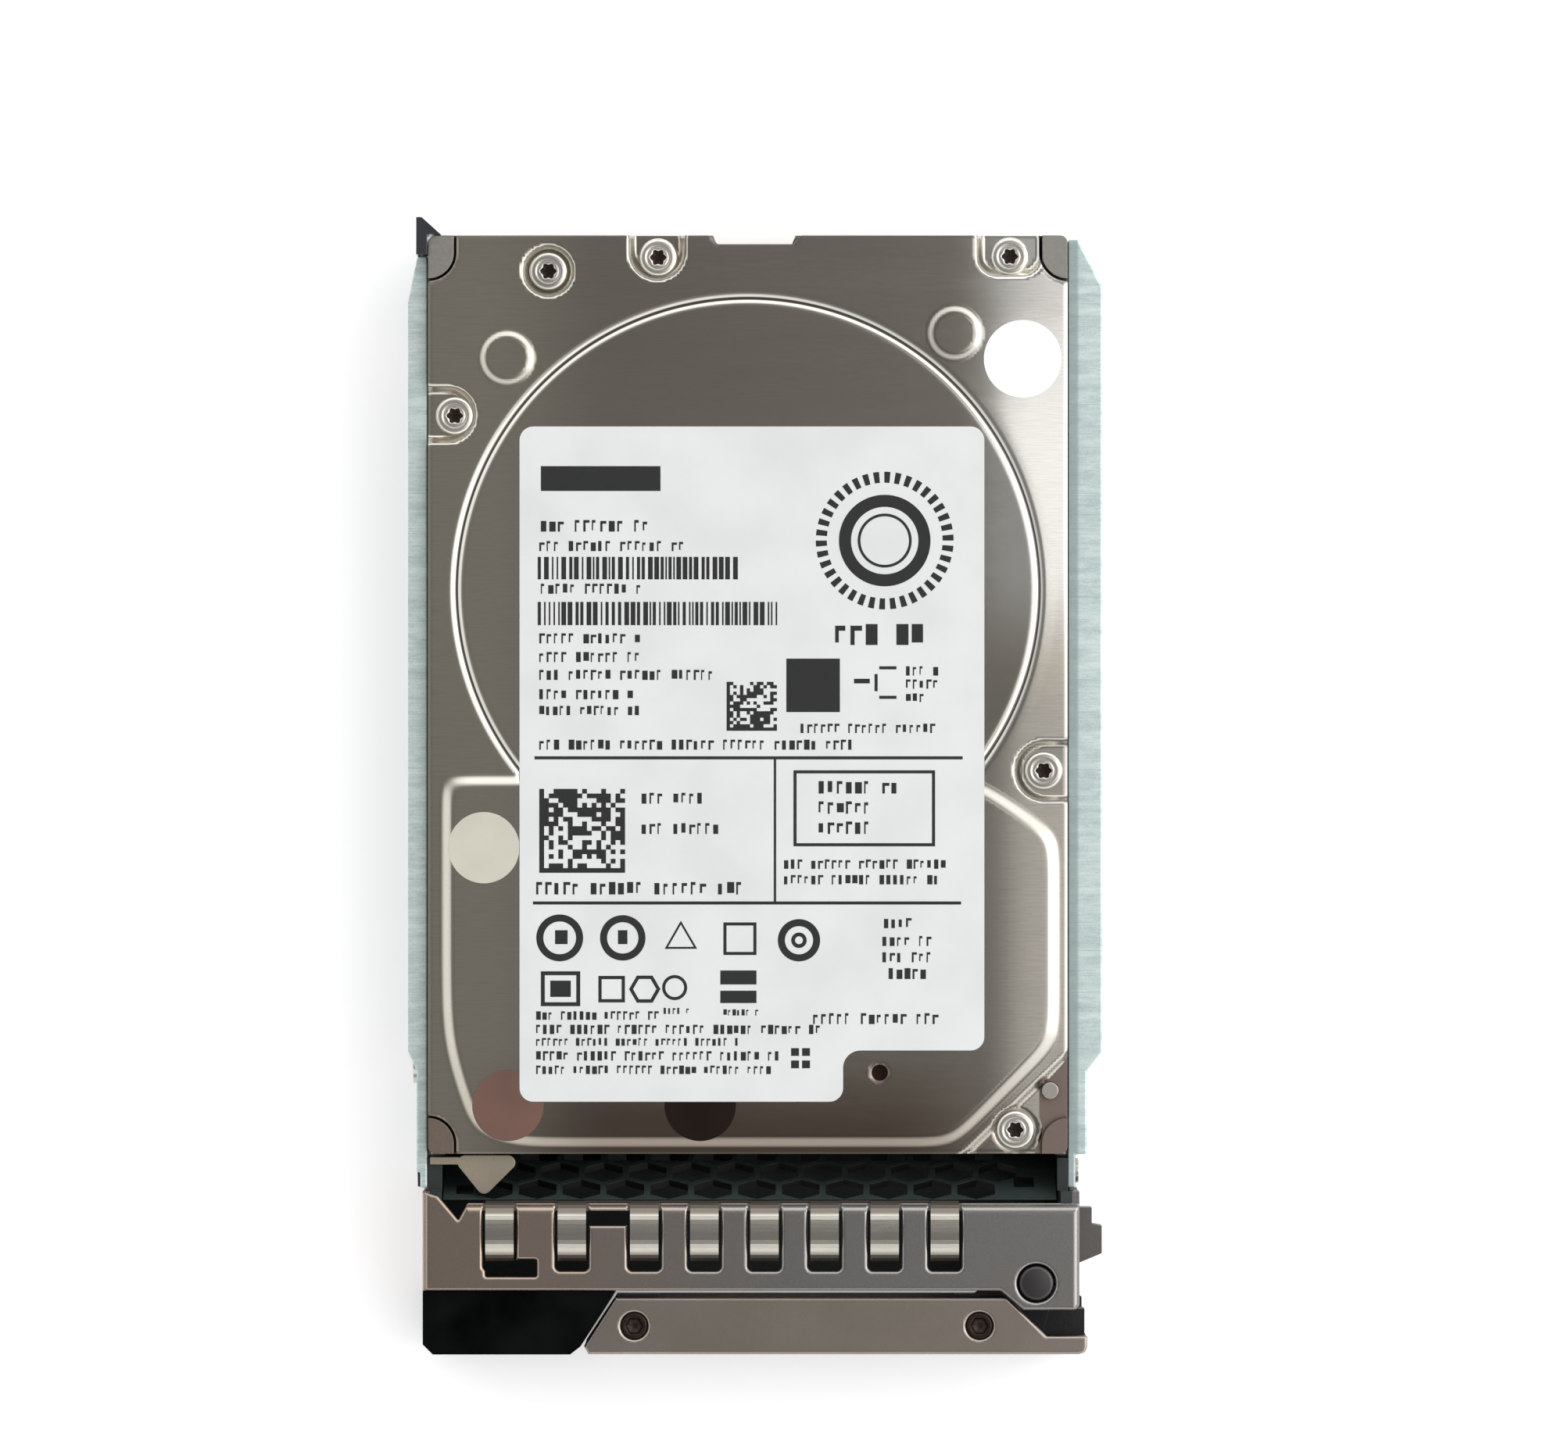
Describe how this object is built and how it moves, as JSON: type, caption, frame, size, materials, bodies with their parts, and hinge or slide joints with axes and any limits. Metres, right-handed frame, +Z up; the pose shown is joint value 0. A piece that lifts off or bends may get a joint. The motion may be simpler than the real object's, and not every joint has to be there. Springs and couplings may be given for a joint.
{
  "type": "hard disk drive",
  "caption": "Flat metal-cased disk drive held between two sheet rails, with a vented front, a swinging handle bar, a hook and a release button.",
  "frame": {"origin": "under the middle of the object's box, on the plane that it rests on", "axes": "+X to the right seen from above with the connector away, +Y towards the connector end, +Z up out of the cover"},
  "size_m": [0.076, 0.1244, 0.0174],
  "materials": {
    "cast_aluminium": "as cast, matt",
    "cover_steel": "fine brushed",
    "gasket_rubber": "matt",
    "screw_steel": "bright plated",
    "label_paper": "satin film",
    "white_film": "matt film",
    "red_film": "clear tinted film",
    "dark_film": "dark film",
    "filter_felt": "felt",
    "disc_mirror": "polished",
    "turned_aluminium": "turned",
    "magnet_nickel": "nickel plated",
    "motor_iron": "laminated",
    "copper_wire": "varnished",
    "ground_steel": "ground",
    "yoke_steel": "nickel plated",
    "slider_ceramic": "polished",
    "ramp_plastic": "moulded",
    "flex_film": "amber film",
    "black_plastic": "moulded",
    "board_green": "solder resist",
    "chip_black": "moulded",
    "foam": "foam",
    "contact_gold": "gold plated",
    "zinc_sheet": "zinc plated",
    "smoked_plastic": "smoked",
    "frame_plastic": "moulded",
    "grille_plastic": "moulded",
    "tongue_metal": "satin",
    "shell_steel": "satin steel",
    "finger_steel": "polished strip",
    "rivet_steel": "satin",
    "handle_plastic": "moulded",
    "strip_steel": "fine blasted",
    "dark_screw": "blackened",
    "spring_wire": "drawn wire",
    "gloss_black": "gloss",
    "lens": "clear"
  },
  "bodies": {
    "carrier": {"base_casting": "cast_aluminium", "top_cover": "cover_steel", "cover_gasket": "gasket_rubber", "cover_screws": "screw_steel", "locating_pin": "screw_steel", "label": "label_paper", "white_seals": "white_film", "red_seal": "red_film", "dark_seal": "dark_film", "breather_filter": "filter_felt", "stator_core": "motor_iron", "stator_windings": "copper_wire", "spindle_shaft": "ground_steel", "pivot_post": "ground_steel", "lower_yoke": "yoke_steel", "upper_yoke": "yoke_steel", "coil_magnets": "magnet_nickel", "yoke_posts": "yoke_steel", "parking_ramp": "ramp_plastic", "flex_cable": "flex_film", "flex_bracket": "black_plastic", "recirculation_filter": "filter_felt", "circuit_board": "board_green", "board_chips": "chip_black", "board_insulator": "foam", "rear_connector": "black_plastic", "connector_contacts": "contact_gold", "board_screws": "screw_steel", "left_rail": "zinc_sheet", "right_rail": "zinc_sheet", "rail_screws": "screw_steel", "rail_rivets": "screw_steel", "light_pipe": "smoked_plastic", "front_frame": "frame_plastic", "vent_grille": "grille_plastic", "grille_tongue": "tongue_metal", "front_shell": "shell_steel", "contact_fingers": "finger_steel", "pivot_rivet": "rivet_steel", "handle_spring": "spring_wire", "latch_end": "gloss_black", "button_spring": "spring_wire", "status_windows": "lens"},
    "spindle": {"discs": "disc_mirror", "disc_spacers": "turned_aluminium", "spindle_hub": "turned_aluminium", "disc_clamp": "turned_aluminium", "clamp_screws": "screw_steel", "rotor_magnet": "magnet_nickel"},
    "head_arm": {"arm_block": "turned_aluminium", "head_suspensions": "ground_steel", "head_sliders": "slider_ceramic", "voice_coil": "copper_wire", "pivot_bearing": "ground_steel"},
    "handle": {"handle_lever": "handle_plastic", "handle_strip": "strip_steel", "strip_screws": "dark_screw"},
    "button": {"release_button": "black_plastic"}
  },
  "joints": [
    {"name": "spindle_spin", "type": "hinge", "parent": "carrier", "child": "spindle", "pos_m": [-0.00081, 0.02148, 0.009], "axis": [0, 0, 1], "continuous": true},
    {"name": "arm_swing", "type": "hinge", "parent": "carrier", "child": "head_arm", "pos_m": [0.00922, -0.01704, 0.009], "axis": [0, 0, -1], "range_deg": [0, 36]},
    {"name": "handle_swing", "type": "hinge", "parent": "carrier", "child": "handle", "pos_m": [0.03069, -0.05427, 0.008], "axis": [0, 0, 1], "range_deg": [0, 45]},
    {"name": "button_press", "type": "slide", "parent": "carrier", "child": "button", "axis": [0, 1, 0], "range_m": [0, 0.0015], "stiffness_N_per_m": 400, "springref_m": -0.0005, "deforming": ["button_spring"]}
  ]
}
